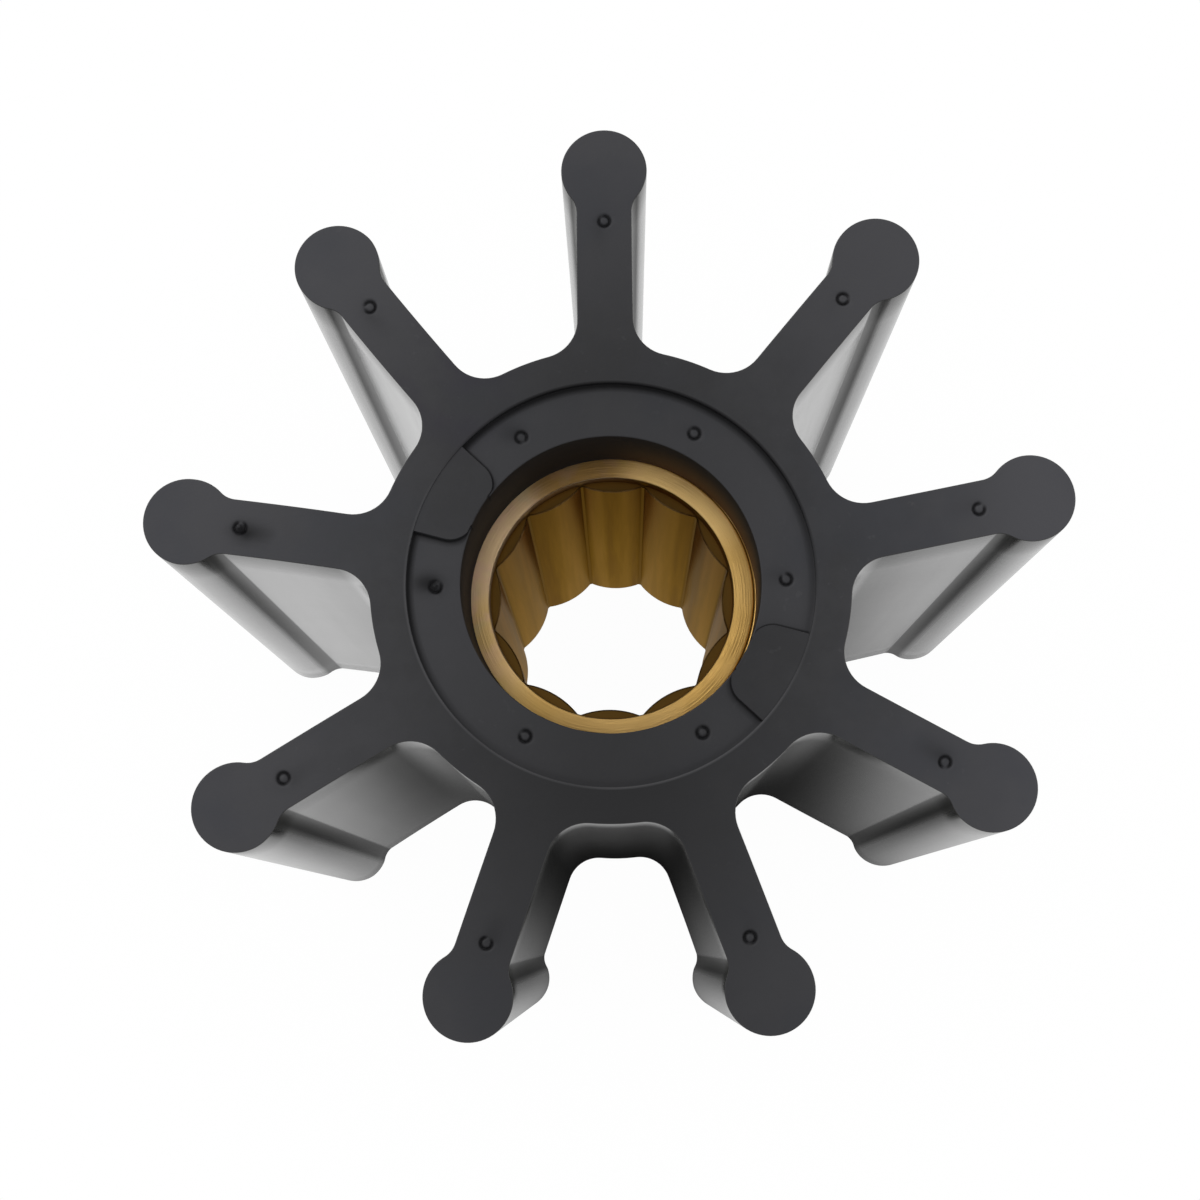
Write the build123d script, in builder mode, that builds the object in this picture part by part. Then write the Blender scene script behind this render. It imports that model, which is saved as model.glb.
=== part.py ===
from build123d import *
from math import hypot
import os

# Flexible pump impeller, in millimetres.
#
# The origin is on the shaft axis at the plain rear end face. +Z runs along the axis to the marked
# front end face, and +Y runs through the middle of one vane.

# ---- Rubber moulding ------------------------------------------------------------------------
length = 88.9                    # overall length, hub and vanes alike
tip_diameter = 95.2              # over the sealing bulbs
vane_count = 9
first_vane_angle = 90.0          # degrees from +X
vane_thickness = 5.7             # parallel sides
bulb_diameter = 8.87             # round sealing bulb along each vane tip
neck_radius = 1.2                # hollow corner between vane side and bulb
hub_diameter = 48.3
root_radius = 4.0                # hollow corner between vane side and hub

# ---- Bore mouths in the rubber, one at each end ----------------------------------------------
front_mouth_diameter = 30.24
front_mouth_depth = 9.25         # end face down to the metal ring
rear_mouth_diameter = 32.0       # just wider than the insert, which is loaded from this end
rear_mouth_depth = 18.0

# ---- Ring recess on the front face, with raised pads left in it -------------------------------
recess_diameter = 41.06
recess_depth = 0.7
pad_count = 2
pad_drop = 0.12                  # pads lie this far below the end face
pad_first_angle = -30.0          # degrees from +X
pad_spread = 28.2                # degrees between the two sides of one pad
pad_corner_radius = 2.4

# ---- Round moulding marks: a ring groove about a small stub -----------------------------------
mark_diameter = 1.4
mark_stub_diameter = 0.8
mark_depth = 0.3
recess_mark_count = 6
recess_mark_circle = 35.2        # diameter of the circle through them
vane_mark_circle = 75.5

# ---- Metal insert ----------------------------------------------------------------------------
insert_diameter = 31.0
bead_groove_diameter = 29.8      # fine groove left by the mould's shut-off bead in the front ring face
bead_groove_width = 0.3
bead_groove_depth = 0.2
lip_chamfer = 0.25               # inner edge of the front ring face
counterbore_diameter = 25.44
counterbore_depth = 1.8          # front ring face down to the spline

rib_count = 12
rib_first_angle = -1.7           # degrees from +X; the broach was not lined up with the vanes
spline_root_diameter = 25.14
spline_crest_diameter = 23.2     # across the rounded tops of the ribs
rib_face_radius = 8.6            # roundness of each rib

# ---- Worked out from the sizes above -----------------------------------------------------------
tip_radius = tip_diameter / 2
bulb_radius = bulb_diameter / 2
bulb_circle_radius = tip_radius - bulb_radius
hub_radius = hub_diameter / 2
front_mouth_radius = front_mouth_diameter / 2
recess_radius = recess_diameter / 2
insert_radius = insert_diameter / 2
insert_bottom = rear_mouth_depth
insert_top = length - front_mouth_depth
spline_top = insert_top - counterbore_depth


def distance_from_axis(vertex):
    """How far a point of a flat profile lies from the shaft axis."""
    return hypot(vertex.X, vertex.Y)


# One pad of the front recess: a sector with its two inner corners rounded off, and its outer end
# run past the recess wall so that it stands against it.
with BuildSketch() as pad_outline:
    pad_outer_radius = (recess_radius + hub_radius) / 2
    with BuildLine():
        inner_arc = CenterArc((0, 0), front_mouth_radius, -pad_spread / 2, pad_spread)
        outer_arc = CenterArc((0, 0), pad_outer_radius, -pad_spread / 2, pad_spread)
        Line(inner_arc @ 0, outer_arc @ 0)
        Line(inner_arc @ 1, outer_arc @ 1)
    make_face()
    fillet(pad_outline.vertices().group_by(distance_from_axis)[0], pad_corner_radius)

# Ring groove of one moulding mark.
with BuildSketch() as mark_outline:
    Circle(mark_diameter / 2)
    Circle(mark_stub_diameter / 2, mode=Mode.SUBTRACT)


# ---- Rubber body ---------------------------------------------------------------------------------
with BuildPart() as rubber_body:
    # Hub, vanes and bulbs are one profile, drawn out over the whole length. The hub circle is turned
    # to start under a vane, so that the vane roots are the only corners on it.
    with BuildSketch() as impeller_profile:
        with PolarLocations(0, 1, start_angle=first_vane_angle):
            Circle(hub_radius)
        with PolarLocations(bulb_circle_radius / 2, vane_count, start_angle=first_vane_angle):
            Rectangle(bulb_circle_radius, vane_thickness)
        with PolarLocations(bulb_circle_radius, vane_count, start_angle=first_vane_angle):
            Circle(bulb_radius)
        roots = impeller_profile.vertices().group_by(distance_from_axis)[0]
        fillet(roots, root_radius)
        necks = impeller_profile.vertices().filter_by(
            lambda vertex: hub_radius + root_radius < distance_from_axis(vertex) < bulb_circle_radius
        )
        necks = necks.group_by(distance_from_axis)[-1]
        fillet(necks, neck_radius)
    extrude(amount=length)

    # Mouths at both ends, and the pocket between them that grips the insert.
    with BuildSketch():
        Circle(rear_mouth_diameter / 2)
    extrude(amount=rear_mouth_depth, mode=Mode.SUBTRACT)
    with BuildSketch(Plane.XY.offset(insert_bottom)):
        Circle(insert_radius)
    extrude(amount=insert_top - insert_bottom, mode=Mode.SUBTRACT)
    with BuildSketch(Plane.XY.offset(length)):
        Circle(front_mouth_radius)
    extrude(amount=-front_mouth_depth, mode=Mode.SUBTRACT)

    # Front recess: a skim over the whole ring, then the full depth round the pads.
    with BuildSketch(Plane.XY.offset(length)):
        Circle(recess_radius)
    extrude(amount=-pad_drop, mode=Mode.SUBTRACT)
    with BuildSketch(Plane.XY.offset(length)):
        Circle(recess_radius)
        with PolarLocations(0, pad_count, start_angle=pad_first_angle):
            add(pad_outline.sketch, mode=Mode.SUBTRACT)
    extrude(amount=-recess_depth, mode=Mode.SUBTRACT)

    # Moulding marks, on the recess floor and on the end of each vane.
    with BuildSketch(Plane.XY.offset(length - recess_depth)):
        with PolarLocations(recess_mark_circle / 2, recess_mark_count):
            add(mark_outline.sketch)
    extrude(amount=-mark_depth, mode=Mode.SUBTRACT)
    with BuildSketch(Plane.XY.offset(length)):
        with PolarLocations(vane_mark_circle / 2, vane_count, start_angle=first_vane_angle):
            add(mark_outline.sketch)
    extrude(amount=-mark_depth, mode=Mode.SUBTRACT)


# ---- Metal insert --------------------------------------------------------------------------------
with BuildPart() as brass_insert:
    # Plain outside, face to face with the rubber's pocket.
    with BuildSketch(Plane.XY.offset(insert_bottom)):
        Circle(insert_radius)
    extrude(amount=insert_top - insert_bottom)

    # Counterbore from the front ring face.
    with BuildSketch(Plane.XY.offset(insert_top)):
        Circle(counterbore_diameter / 2)
    extrude(amount=-counterbore_depth, mode=Mode.SUBTRACT)

    # Splined bore, broached right through to the rear ring face: a round bore with rounded ribs
    # left standing into it.
    with BuildSketch(Plane.XY.offset(insert_bottom)):
        Circle(spline_root_diameter / 2)
        rib_centre_radius = spline_crest_diameter / 2 + rib_face_radius
        with PolarLocations(rib_centre_radius, rib_count, start_angle=rib_first_angle):
            Circle(rib_face_radius, mode=Mode.SUBTRACT)
    extrude(amount=spline_top - insert_bottom, mode=Mode.SUBTRACT)

    # Shut-off bead groove in the front ring face.
    with BuildSketch(Plane.XZ):
        with BuildLine():
            Polyline(
                ((bead_groove_diameter - bead_groove_width) / 2, insert_top),
                (bead_groove_diameter / 2, insert_top - bead_groove_depth),
                ((bead_groove_diameter + bead_groove_width) / 2, insert_top),
                close=True,
            )
        make_face()
    revolve(axis=Axis.Z, mode=Mode.SUBTRACT)

    # Broken inner edge of the front ring face.
    counterbore_edges = brass_insert.edges().filter_by(
        lambda edge: edge.geom_type == GeomType.CIRCLE and edge.radius == counterbore_diameter / 2
    )
    chamfer(counterbore_edges.group_by(Axis.Z)[-1], lip_chamfer)


rubber_body.part.label = "rubber_body"
brass_insert.part.label = "brass_insert"

os.makedirs("parts", exist_ok=True)
export_step(rubber_body.part, "parts/rubber_body.step")
export_step(brass_insert.part, "parts/brass_insert.step")
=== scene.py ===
# %% [markdown]
# # A flexible pump impeller
#
# The part is a nine-vane rubber moulding bonded round a splined brass insert. Its construction is
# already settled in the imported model, which is loaded first and never moved. This lesson gives both
# pieces their finished surfaces: fine meshes worked out with numpy in place of the faceted solids,
# and procedural materials for moulded rubber and for turned, tarnished brass.

import bmesh
import bpy
import numpy as np
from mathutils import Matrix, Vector


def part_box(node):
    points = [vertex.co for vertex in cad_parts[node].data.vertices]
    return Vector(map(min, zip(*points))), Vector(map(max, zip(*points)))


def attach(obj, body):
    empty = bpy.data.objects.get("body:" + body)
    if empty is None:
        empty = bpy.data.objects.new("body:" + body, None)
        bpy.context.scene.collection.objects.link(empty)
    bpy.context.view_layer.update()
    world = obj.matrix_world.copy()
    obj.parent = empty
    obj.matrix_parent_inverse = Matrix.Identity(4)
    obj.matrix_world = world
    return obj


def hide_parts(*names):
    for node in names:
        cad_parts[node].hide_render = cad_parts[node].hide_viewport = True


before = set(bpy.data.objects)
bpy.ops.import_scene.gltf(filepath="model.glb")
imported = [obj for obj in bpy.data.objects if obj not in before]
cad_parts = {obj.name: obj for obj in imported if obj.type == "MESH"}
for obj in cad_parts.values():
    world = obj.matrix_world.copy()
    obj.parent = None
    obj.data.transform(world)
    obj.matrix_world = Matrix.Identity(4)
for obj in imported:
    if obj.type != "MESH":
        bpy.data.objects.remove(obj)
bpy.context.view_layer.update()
print("nodes:", sorted(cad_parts))

# %% [markdown]
# ## Sizes
#
# All shapes below are worked out in millimetres and turned into metres when a mesh is made. The
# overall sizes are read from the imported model, so the finished surfaces always fit it. The smaller
# ones are estimates. Most repeat the plain solid's, such as the root fillet and the recess depth.
# The edge roundings are added here, and the neck is softer than the solid's.

# %% Driving sizes, in millimetres
MM = 0.001
rubber_low, rubber_high = (np.array(corner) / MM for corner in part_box("rubber_body"))
insert_low, insert_high = (np.array(corner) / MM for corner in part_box("brass_insert"))

LENGTH = rubber_high[2] - rubber_low[2]
TIP_RADIUS = rubber_high[1]  # the first vane points along +Y
VANE_COUNT = 9
FIRST_VANE = np.radians(90)
PITCH = 2 * np.pi / VANE_COUNT
HALF_THICKNESS = 5.7 / 2
BULB_RADIUS = 8.87 / 2
BULB_CENTRE = TIP_RADIUS - BULB_RADIUS  # distance of a bulb's centre from the shaft axis
NECK_RADIUS = 2.4
HUB_RADIUS = 48.3 / 2
ROOT_RADIUS = 4.0
EDGE_ROUNDING = 0.08  # where the vane walls turn into the end faces
QUARTER_TURN = np.radians([0, 30, 60, 90])  # steps round a rounded edge

MOUTH_RADIUS = 30.24 / 2  # the front mouth
REAR_MOUTH_RADIUS = 32.0 / 2
LIP_ROUNDING = 0.12
RIM_ROUNDING = 0.09  # where the recess wall turns into the end face
RECESS_RADIUS = 41.06 / 2
RECESS_DEPTH = 0.7
PAD_DROP = 0.12
PAD_CENTRES = np.radians([-30, 150])
PAD_HALF_SPREAD = np.radians(28.2 / 2)
PAD_CORNER = 2.4

MARK_RADIUS = 0.56  # middle of the ring groove
MARK_DEPTH = 0.3
MARK_WIDTH = 0.17  # of the groove's bell-shaped section
MARK_FAN = np.arange(-9, 10) * 0.1  # offsets of the grid's lines across one mark
VANE_MARK_PLACE = 75.5 / 2
SQUARED_FROM = VANE_MARK_PLACE - 1.6  # from here out, ruled lines lie square across the vane
RECESS_MARK_PLACE = 35.2 / 2
RECESS_MARK_COUNT = 6

INSERT_RADIUS = insert_high[0]
INSERT_BOTTOM, INSERT_TOP = insert_low[2], insert_high[2]
print(f"length {LENGTH:.1f}, over the bulbs {2 * TIP_RADIUS:.1f}, insert {INSERT_TOP - INSERT_BOTTOM:.1f}")

# %% [markdown]
# ## The camera
#
# The camera looks down on the marked end face from close by, a little below the shaft axis. So the
# far ends of the vanes draw together under the near ones, and one flank of each vane shows. A lens
# of about 62 mm on a full-frame sensor gives that much perspective.

# %% Camera
camera_data = bpy.data.cameras.new("camera")
camera_data.lens = 61.637
camera_data.sensor_width = 36
camera = bpy.data.objects.new("camera", camera_data)
camera.location = (0.00077665, -0.03576371, 0.2912276)
camera.rotation_euler = np.radians((9.5081, 0.72086, -1.13394))
bpy.context.scene.collection.objects.link(camera)
bpy.context.scene.camera = camera

# %% [markdown]
# ## From grids of points to a mesh
#
# Every surface here is a grid: rows run along the surface, columns run round the shaft, and each
# point is worked out as part of a whole array. Three helpers turn such grids into a mesh. The first
# lists the quads between neighbouring rows and columns. The second sews two rings of points that
# have different counts, which lets a finely divided recess meet a coarsely divided end face. The
# third puts points and faces into a mesh object, merges the seams, and stores the masks that the
# materials read.

# %% Grid helpers
def ring_quads(rows, columns, first=0):
    """Quads of a grid whose columns close into a ring.

    Point (i, j) has the number first + i * columns + j. Each quad runs (i, j), (i + 1, j),
    (i + 1, j + 1), (i, j + 1), with j + 1 taken round the ring.
    """
    i, j = np.meshgrid(np.arange(rows - 1), np.arange(columns), indexing="ij")
    beside = (j + 1) % columns
    corners = (i * columns + j, (i + 1) * columns + j, (i + 1) * columns + beside, i * columns + beside)
    return first + np.stack(corners, axis=-1).reshape(-1, 4)


def sewn_rings(first_ring, first_angles, second_ring, second_angles):
    """Triangles between two rings of points round the same axis, each in order of angle.

    Each edge of one ring makes a triangle with the point that the other ring has reached when the
    middle of that edge is passed. That point's place in its ring is the number of its own edges
    whose middles lie at a smaller angle.
    """
    def middles(angles):
        following = np.append(angles[1:], angles[0] + 2 * np.pi)
        return (angles + following) / 2

    first_middle, second_middle = middles(first_angles), middles(second_angles)
    reached_second = np.searchsorted(second_middle, first_middle) % len(second_ring)
    reached_first = np.searchsorted(first_middle, second_middle) % len(first_ring)
    along_first = (first_ring, second_ring[reached_second], np.roll(first_ring, -1))
    along_second = (first_ring[reached_first], second_ring, np.roll(second_ring, -1))
    return np.concatenate([np.stack(along_first, -1), np.stack(along_second, -1)])


def merge_seams(mesh, distance=2e-7):
    """Joins points that lie on each other, so that folds and poles of a grid are closed."""
    work = bmesh.new()
    work.from_mesh(mesh)
    bmesh.ops.remove_doubles(work, verts=work.verts, dist=distance)
    bmesh.ops.dissolve_degenerate(work, edges=work.edges, dist=distance)
    open_edges = sum(not edge.is_manifold for edge in work.edges)
    work.to_mesh(mesh)
    work.free()
    print(f"  open or doubled edges in {mesh.name}: {open_edges}")


def make_piece(name, points, faces, masks, sharp_angle):
    """A mesh object from points in millimetres, arrays of faces and one number per point for each mask."""
    mesh = bpy.data.meshes.new(name)
    face_lists = [face for group in faces for face in group.tolist()]
    mesh.from_pydata((points * MM).tolist(), [], face_lists)
    for mask, values in masks.items():
        attribute = mesh.attributes.new(mask, "FLOAT", "POINT")
        attribute.data.foreach_set("value", values.astype(np.float32))
    merge_seams(mesh)
    mesh.shade_smooth()
    mesh.set_sharp_from_angle(angle=np.radians(sharp_angle))
    mesh.validate()
    piece = bpy.data.objects.new(name, mesh)
    bpy.context.scene.collection.objects.link(piece)
    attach(piece, "root")
    triangles = sum(len(polygon.vertices) - 2 for polygon in mesh.polygons)
    print(f"{name}: {len(mesh.vertices)} points, {triangles} triangles")
    return piece


# %% [markdown]
# ## The outline of one vane
#
# Seen from the end, each vane is a flat bar with a round sealing bulb at its tip, and every corner
# is a fillet: a large one at the root and a small one at the neck of the bulb. Half of a sector is
# drawn, from the middle of the valley beside the vane out to the tip, and the other half is its
# mirror image. Beside each point of the outline its outward normal is kept, because an edge rounding
# is then simply the same outline moved inwards along that normal.

# %% Half an outline, as points and normals
def arc(centre, radius, start, stop, count, hollow=False):
    """Points and outward normals of an arc: centre + radius * (cos a, sin a).

    On a hollow corner the material lies outside the arc, so its normals point at the centre.
    """
    angle = np.linspace(start, stop, count)
    direction = np.stack([np.cos(angle), np.sin(angle)], -1)
    return centre + radius * direction, -direction if hollow else direction


# The root fillet touches the hub circle and the vane's side, which fixes where its centre lies.
root_centre_v = -(HALF_THICKNESS + ROOT_RADIUS)
root_angle = np.arcsin(-root_centre_v / (HUB_RADIUS + ROOT_RADIUS))
root_centre = np.array([(HUB_RADIUS + ROOT_RADIUS) * np.cos(root_angle), root_centre_v])

# The neck fillet touches the side and the bulb in the same way.
neck_centre_v = -(HALF_THICKNESS + NECK_RADIUS)
neck_angle = np.arcsin(-neck_centre_v / (BULB_RADIUS + NECK_RADIUS))
neck_centre = np.array([BULB_CENTRE - (BULB_RADIUS + NECK_RADIUS) * np.cos(neck_angle), neck_centre_v])


HUB, ROOT, SIDE, NECK, BULB = range(5)  # sections of the outline


def half_outline():
    """Points, outward normals and section numbers along half a sector, in the vane's own directions.

    u runs out along the vane and v across it. The side is divided finely where the moulding mark
    lies beside it.
    """
    bulb_centre = np.array([BULB_CENTRE, 0.0])
    side_u = np.concatenate([
        np.linspace(root_centre[0], SQUARED_FROM, 7)[1:],
        VANE_MARK_PLACE + MARK_FAN,
        [neck_centre[0]],
    ])
    side = np.stack([side_u, np.full_like(side_u, -HALF_THICKNESS)], -1)
    side_normal = np.tile([0.0, -1.0], (len(side_u), 1))
    sections = [
        arc(np.zeros(2), HUB_RADIUS, -PITCH / 2, -root_angle, 5),
        arc(root_centre, ROOT_RADIUS, np.pi - root_angle, np.pi / 2, 12, hollow=True),
        (side, side_normal),
        arc(neck_centre, NECK_RADIUS, np.pi / 2, neck_angle, 8, hollow=True),
        arc(bulb_centre, BULB_RADIUS, neck_angle - np.pi, 0, 26),
    ]
    # A section after the first starts one point on, apart from the side, which already does.
    kept = [(p, n) if k in (HUB, SIDE) else (p[1:], n[1:]) for k, (p, n) in enumerate(sections)]
    points = np.concatenate([p for p, _ in kept])
    normals = np.concatenate([n for _, n in kept])
    section = np.concatenate([np.full(len(p), k) for k, (p, _) in enumerate(kept)])
    return points, normals, section


edge_half, normal_half, section_half = half_outline()
print("columns in half a sector:", len(edge_half))

# %% [markdown]
# ## The rubber body's outside
#
# An end face could be filled by triangulating its outline, but then nothing fine could be pressed
# into it. Here it is a ruled surface instead: straight lines run from a spine out to the outline.
# Round the hub the spine is a circle just outside the recess. At each vane it runs out along the
# middle of the vane to the bulb's centre, so the lines lie square across the vane, and a moulding
# mark can be sunk into the grid they form. The same rows then carry on over the rounded edge, down
# the walls and back across the plain rear face, so the whole outside is one sheet.

# %% Spine of an end face
def half_spine(circle_radius):
    """Where the ruled lines of half a sector start.

    Hub points look at the circle along their own radius. Root points share out the rest of the
    circle up to the vane's middle. Side and neck points start on the middle line of the vane, more
    and more squarely across it, and all bulb points start at the bulb's centre.
    """
    start = np.zeros_like(edge_half)
    hub, root, side, neck, bulb = (section_half == k for k in range(5))
    hub_angle = np.arctan2(edge_half[hub, 1], edge_half[hub, 0])
    root_share = np.linspace(-root_angle, 0, root.sum() + 1)[1:]
    for chosen, angle in ((hub, hub_angle), (root, root_share)):
        start[chosen] = circle_radius * np.stack([np.cos(angle), np.sin(angle)], -1)
    start[side, 0] = np.interp(
        edge_half[side, 0], [root_centre[0], SQUARED_FROM], [circle_radius, SQUARED_FROM]
    )
    past_squared = side & (edge_half[:, 0] > SQUARED_FROM)
    start[past_squared, 0] = edge_half[past_squared, 0]
    start[neck, 0] = np.linspace(neck_centre[0], BULB_CENTRE, neck.sum() + 1)[1:]
    start[bulb, 0] = BULB_CENTRE
    return start


def whole_sector(half, mirror=1):
    """Half a sector followed by its mirror image, without the tip and the far valley point twice."""
    return np.concatenate([half, (half * mirror)[::-1][1:-1]])


ACROSS = np.array([1, -1])  # turns a half's points over to the vane's other side
edge = whole_sector(edge_half, ACROSS)
edge_normal = whole_sector(normal_half, ACROSS)
section = whole_sector(section_half)

# All of the draft acts on the hub and the sides and none on the bulb. It fades along the neck.
neck_half = section_half == NECK
draft_half = (section_half < NECK).astype(float)
draft_half[neck_half] = np.linspace(1, 0, neck_half.sum() + 2)[1:-1]
draft_share = whole_sector(draft_half)

# The crease mask is full along the neck and weaker on the bulb's first column.
crease_half = neck_half.astype(float)
crease_half[np.flatnonzero(section_half == BULB)[0]] = 0.4
whole_crease = whole_sector(crease_half)

# %% [markdown]
# ## Moulding marks
#
# Small round marks lie on every vane and round the recess, where pins of the mould met the rubber.
# Each is a shallow ring groove round a stub. No two are quite alike: rubber has flashed over part of
# the ring, and the stub sits a little off centre. On one vane and at one place of the recess the stub
# was never trimmed and stands up.

# %% Height of a moulding mark
def smooth_step(value, low, high):
    """0 below low, 1 above high, and the curve 3 t^2 - 2 t^3 between them."""
    t = np.clip((value - low) / (high - low), 0, 1)
    return t * t * (3 - 2 * t)


def wrapped(angle):
    """The same direction as an angle between -pi and pi."""
    return (angle + np.pi) % (2 * np.pi) - np.pi


def mark_height(across, along, look):
    """Height of the end face over one mark, and how dark it is, for offsets from its centre.

    The groove is a bell curve of the distance from the ring, -depth * exp(-((d - ring) / width)^2),
    made shallower near the angle where flash bridges it. The stub is a smooth step of the distance
    from a point a little off centre. The groove is darkened as painted shade, and a soft painted
    shadow of the stub lies on one side.
    """
    from_ring = (np.hypot(across, along) - MARK_RADIUS) / MARK_WIDTH
    from_flash = np.abs(wrapped(np.arctan2(along, across) - look["flash_angle"]))
    open_share = 1 - look["flash"] * np.exp(-((from_flash / 0.55) ** 2))
    from_stub = np.hypot(across - look["offset"][0], along - look["offset"][1])
    stub_edge = -look["stub_radius"]
    stub = look["stub_height"] * smooth_step(-from_stub, stub_edge - 0.12, stub_edge + 0.08)
    groove = MARK_DEPTH * np.exp(-(from_ring**2)) * open_share
    # A soft painted shadow of the stub, on one side of it.
    smudge = look["smudge"] * np.exp(-(((across + 0.8) / 1.35) ** 2) - ((along - 0.4) / 0.9) ** 2)
    # Painted shade: the groove is as dark as it is deep.
    return stub - groove, np.maximum(groove / MARK_DEPTH, smudge)


def mark_looks(count, tall, seed):
    """Flash, stub and painted stub shadow of each mark, the same on every run. tall numbers the untrimmed
    one.
    """
    random = np.random.default_rng(seed)
    return [
        {
            "flash_angle": random.uniform(0, 2 * np.pi),
            "flash": random.uniform(0.3, 0.9),
            "offset": random.uniform(-0.08, 0.08, 2),
            "stub_radius": random.uniform(0.18, 0.28),
            "stub_height": 0.9 if number == tall else random.uniform(-0.05, 0.06),
            "smudge": 0.85 if number == tall else random.uniform(0.0, 0.35),
        }
        for number in range(count)
    ]


# %% [markdown]
# ## Lean of the vanes
#
# Rubber vanes never stand quite true: each one has taken a slight set to one side, and has shrunk a
# little more or less than its neighbours. Both grow with the square of the distance out from the
# root, as in a bar that is bent by a push at its tip, and both change from the marked end face to
# the rear one. The valleys and the sides of the vanes also lean inwards by a fraction of a degree,
# the draft that lets the part slide out of its mould.
#
# VANE_SET wasn't chosen by hand. Its numbers were read off what a fitting script printed for one
# worn copy, and so were the camera's. For each vane they are the shift out and across at the bulb,
# in front and then at the rear.

# %% Outside grid
VANE_SET = np.array([
    (0.03, -0.20, 0.00, -0.20), (0.10, -0.54, 0.10, -0.45), (0.00, 0.42, 0.40, 0.50),
    (0.06, 0.16, -0.25, 0.45), (-0.16, 0.07, -0.70, 0.13), (-0.26, -0.10, -0.22, -0.45),
    (-0.40, 0.09, -0.40, 0.20), (-0.06, 0.12, -0.06, 0.51), (0.00, -0.22, 0.00, -0.15),
])
LEAN_LENGTH = 19.0  # from the hub out to the bulb
DRAFT = 0.28  # how far the walls have come in at the rear
FRONT_SPINE = RECESS_RADIUS + 0.45
REAR_SPINE = REAR_MOUTH_RADIUS + 0.95


def outside_rows():
    """One line for each row: front or rear spine, share of the way from it, inset and height.

    An edge rounding of radius e goes through inset e (1 - sin a) and depth e (1 - cos a).
    """
    e = EDGE_ROUNDING
    mark_rows = MARK_FAN[9:] / (HALF_THICKNESS - e)
    rows = [(0, share, e, LENGTH) for share in (*mark_rows, 0.5, 0.75, 0.97, 1)]
    rows += [(0, 1, e * (1 - np.sin(a)), LENGTH - e * (1 - np.cos(a))) for a in QUARTER_TURN[1:]]
    rows += [(0, 1, 0, z) for z in np.linspace(LENGTH - e, e, 12)[1:]]
    rows += [(1, 1, e * (1 - np.cos(a)), e * (1 - np.sin(a))) for a in QUARTER_TURN[1:]]
    rows += [(1, share, e, 0) for share in (0.97, 0.5, 0)]
    return np.array(rows)


def outside_grid():
    """Points of the outside, rows by columns by 3, with the masks for end faces, the marks' painted shade
    and necks.

    In a vane's own directions a point is spine + share * (outline - inset * normal - spine). The
    set then moves it out and across, and a turn by the vane's angle puts it in its place.
    """
    rear, share, inset, height = outside_rows().T[:, :, None]
    front_spine, rear_spine = (whole_sector(half_spine(r), ACROSS) for r in (FRONT_SPINE, REAR_SPINE))
    to_rear = 1 - height / LENGTH
    draft = DRAFT * to_rear * draft_share
    spine = np.where(rear[..., None] > 0, rear_spine, front_spine)
    from_spine = edge - (inset + draft)[..., None] * edge_normal - spine
    u, v = np.moveaxis(spine + share[..., None] * from_spine, -1, 0)
    on_front = (height == LENGTH) & (share < 1)
    turns, mark_shade_parts = [], []
    for vane, look in enumerate(mark_looks(VANE_COUNT, tall=2, seed=3)):
        rise, groove = mark_height(u - VANE_MARK_PLACE, v, look)
        bent = np.clip((u - HUB_RADIUS) / LEAN_LENGTH, 0, 1) ** 2
        out, across = (
            plain + bent * (in_front + to_rear * (at_rear - in_front))
            for plain, in_front, at_rear in zip((u, v), VANE_SET[vane, :2], VANE_SET[vane, 2:])
        )
        angle = FIRST_VANE + vane * PITCH
        x = out * np.cos(angle) - across * np.sin(angle)
        y = out * np.sin(angle) + across * np.cos(angle)
        turns.append(np.stack([x, y, height + on_front * rise], -1))
        # The mark's painted shade, on the front face only.
        mark_shade_parts.append(groove * on_front)
    points = np.concatenate(turns, axis=1)
    groove = np.concatenate(mark_shade_parts, axis=1)
    end_face = np.broadcast_to((inset == EDGE_ROUNDING).astype(float), groove.shape)
    crease = np.broadcast_to(np.tile(whole_crease, VANE_COUNT), groove.shape)
    return points, end_face, groove, crease


outside_points, outside_end, outside_painted_shade, outside_crease = outside_grid()
print("outside grid:", outside_points.shape[:2])

# %% [markdown]
# ## Recess and mouths
#
# The marked end face has a shallow ring recess with two raised pads left standing in it. Their inner
# corners are rounded off where they meet the mouth. A plain polar grid would show such a corner as a
# staircase, so the grid is bent: near a pad its columns lean over to follow the pad's own edge, and
# the step from floor to pad always falls between the same two columns.
#
# From the recess the same sheet goes over the lip, down the mouth, along the pocket that grips the
# insert, and out through the plain rear mouth. Where the mouth meets the brass, a thin lip of flash
# has crept over it. Masks carry painted shade at the foot of each step and beside the pads, and a
# painted shadow and a painted highlight on the recess's edge.

# %% Columns that follow the pads
PAD_STEP = np.radians(0.2)  # half the width of the step at a pad's side
PAD_EASE = np.radians(11)  # how far beyond a pad the columns still lean
FLASH_WIDTH = 0.5  # rubber that has crept over the insert's edge
FLASH_SIDE = np.radians(150)  # where it is widest


def pad_edge(radius):
    """Half the angle that a pad spans at a radius.

    The corner arc's centre lies one corner radius outside the mouth. Below the radius where the arc
    leaves the pad's side, the law of cosines gives the angle between that centre and the edge.
    """
    reach = MOUTH_RADIUS + PAD_CORNER
    centre = PAD_HALF_SPREAD - np.arcsin(PAD_CORNER / reach)
    leaves_side = np.sqrt(reach**2 - PAD_CORNER**2)
    inside = np.clip(radius, MOUTH_RADIUS, leaves_side)
    cosine = (inside**2 + reach**2 - PAD_CORNER**2) / (2 * inside * reach)
    return centre + np.arccos(np.clip(cosine, -1, 1))


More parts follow.
